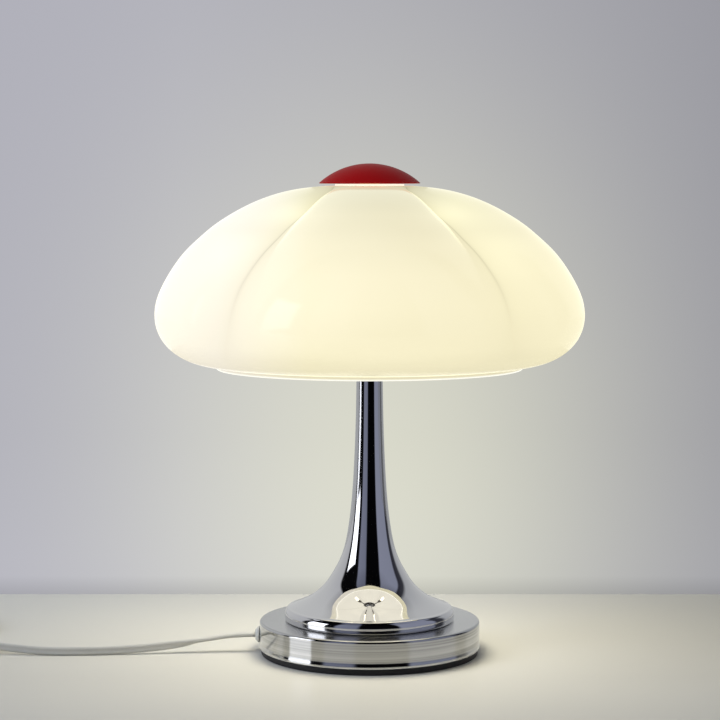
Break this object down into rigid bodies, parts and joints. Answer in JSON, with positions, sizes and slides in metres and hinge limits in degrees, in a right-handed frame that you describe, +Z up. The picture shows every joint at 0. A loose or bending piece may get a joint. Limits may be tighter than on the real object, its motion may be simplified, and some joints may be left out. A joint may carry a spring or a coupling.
{
  "type": "mushroom table lamp",
  "caption": "Table lamp with a lobed opal mushroom shade, red dome cap, chrome trumpet stem and disc base, corded.",
  "frame": {"origin": "middle of the base, on the surface that the lamp stands on", "axes": "+Z up along the stem, -Y towards the front lobe, cord leaves the base towards -X"},
  "size_m": [0.5381, 0.3117, 0.3436],
  "materials": {
    "chrome": "polished plating on spun steel",
    "opal_acrylic": "glossy opal",
    "red_enamel": "satin",
    "black_rubber": "matt",
    "cast_iron": "as cast",
    "steel": "zinc plated",
    "brass": "turned",
    "nylon": "moulded",
    "clear_plastic": "clear, moulded",
    "silicone": "clear",
    "ceramic": "unglazed",
    "lamp_glass": "frosted",
    "cord_pvc": "satin flexible",
    "white_plastic": "moulded",
    "black_lacquer": "gloss"
  },
  "bodies": {
    "root": {"arm_back": "black_lacquer", "arm_left": "black_lacquer", "arm_right": "black_lacquer", "base_cover": "chrome", "base_pad": "black_rubber", "base_plate": "steel", "base_weight": "cast_iron", "clamp_screws": "steel", "coil_tie": "white_plastic", "cord_clamp": "nylon", "cord_coil": "cord_pvc", "cord_grommet": "clear_plastic", "cord_lead": "cord_pvc", "cord_stretch": "cord_pvc", "cord_tail": "cord_pvc", "holder_back": "ceramic", "holder_left": "ceramic", "holder_right": "ceramic", "hub_body": "black_lacquer", "hub_cover": "black_lacquer", "inner_cord": "cord_pvc", "lamp_wiring": "cord_pvc", "plate_nut": "steel", "plate_screws": "steel", "plug_body": "white_plastic", "plug_pins": "brass", "rod_nut": "steel", "rod_washer": "steel", "shade_gasket": "silicone", "shade_plate": "black_lacquer", "stem_collar": "chrome", "stem_rod": "steel", "switch_base": "white_plastic", "switch_contacts": "brass", "switch_cover": "white_plastic", "switch_screws": "steel", "terminal_block": "nylon", "terminal_screws": "brass", "top_rod": "steel", "trumpet_stem": "chrome"},
    "shade_shell": {"shade": "opal_acrylic", "cap_washer": "silicone"},
    "cap_thread": {"cap_insert": "brass"},
    "cap_dome": {"cap": "red_enamel"},
    "left_bulb": {"bulb_left": "lamp_glass"},
    "right_bulb": {"bulb_right": "lamp_glass"},
    "back_bulb": {"bulb_back": "lamp_glass"},
    "rocker": {"switch_rocker": "white_plastic"}
  },
  "joints": [
    {"name": "shade_lift", "type": "slide", "parent": "root", "child": "shade_shell", "axis": [0, 0, 1], "range_m": [0, 0.15]},
    {"name": "cap_rise", "type": "slide", "parent": "shade_shell", "child": "cap_thread", "axis": [0, 0, 1], "range_m": [0, 0.008]},
    {"name": "cap_turn", "type": "hinge", "parent": "cap_thread", "child": "cap_dome", "pos_m": [0, 0, 0.335], "axis": [0, 0, 1], "range_deg": [0, 2880]},
    {"name": "bulb_left_pull", "type": "slide", "parent": "root", "child": "left_bulb", "axis": [-0.8243, -0.4759, -0.3068], "range_m": [0, 0.0095]},
    {"name": "bulb_right_pull", "type": "slide", "parent": "root", "child": "right_bulb", "axis": [0.8243, -0.4759, -0.3068], "range_m": [0, 0.0095]},
    {"name": "bulb_back_pull", "type": "slide", "parent": "root", "child": "back_bulb", "axis": [0, 0.9518, -0.3068], "range_m": [0, 0.0095]},
    {"name": "switch_rock", "type": "hinge", "parent": "root", "child": "rocker", "pos_m": [-0.2985, -0.0008, 0.0152], "axis": [0.1801, 0.9837, 0], "range_deg": [0, 14]}
  ],
  "couplings": [
    {"joint": "cap_turn", "follows": "cap_rise", "rad_per_m": 6283.2}
  ]
}
